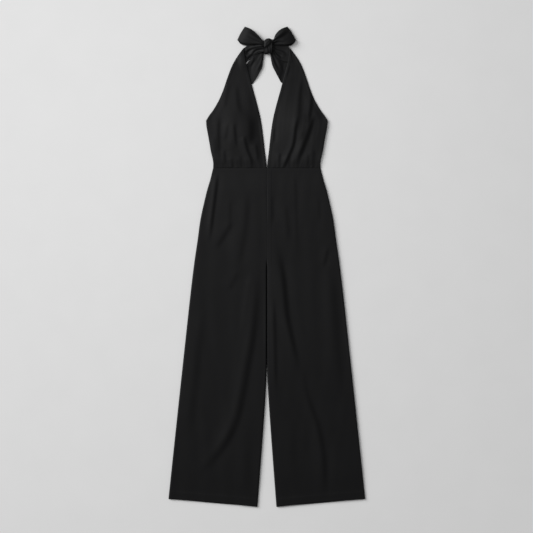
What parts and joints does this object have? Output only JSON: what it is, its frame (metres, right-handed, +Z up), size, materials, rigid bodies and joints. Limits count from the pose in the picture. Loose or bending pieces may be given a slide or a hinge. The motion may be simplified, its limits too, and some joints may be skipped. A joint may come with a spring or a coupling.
{
  "type": "halter-neck jumpsuit",
  "caption": "Halter-neck jumpsuit with a plunging front, gathered bodice, neck ties knotted in a bow and wide trouser legs, laid flat.",
  "frame": {"origin": "on the surface that the garment lies on, at the middle of the box that it takes up", "axes": "+Y up the garment from the hems to the bow, +X to the wearer's left, +Z up from the surface, out of the garment's front"},
  "size_m": [0.6294, 1.535, 0.0189],
  "materials": {
    "crepe": "matte black woven crepe"
  },
  "bodies": {
    "root": {"trouser_front_right": "crepe", "trouser_front_left": "crepe", "trouser_back_right": "crepe", "trouser_back_left": "crepe", "bodice_front_right": "crepe", "bodice_front_left": "crepe", "bodice_back_right": "crepe", "bodice_back_left": "crepe", "neck_tie_right": "crepe", "neck_tie_left": "crepe", "bow_tail_right": "crepe", "bow_tail_left": "crepe", "bow_loop_right": "crepe", "bow_loop_left": "crepe", "bow_knot": "crepe"}
  },
  "joints": []
}
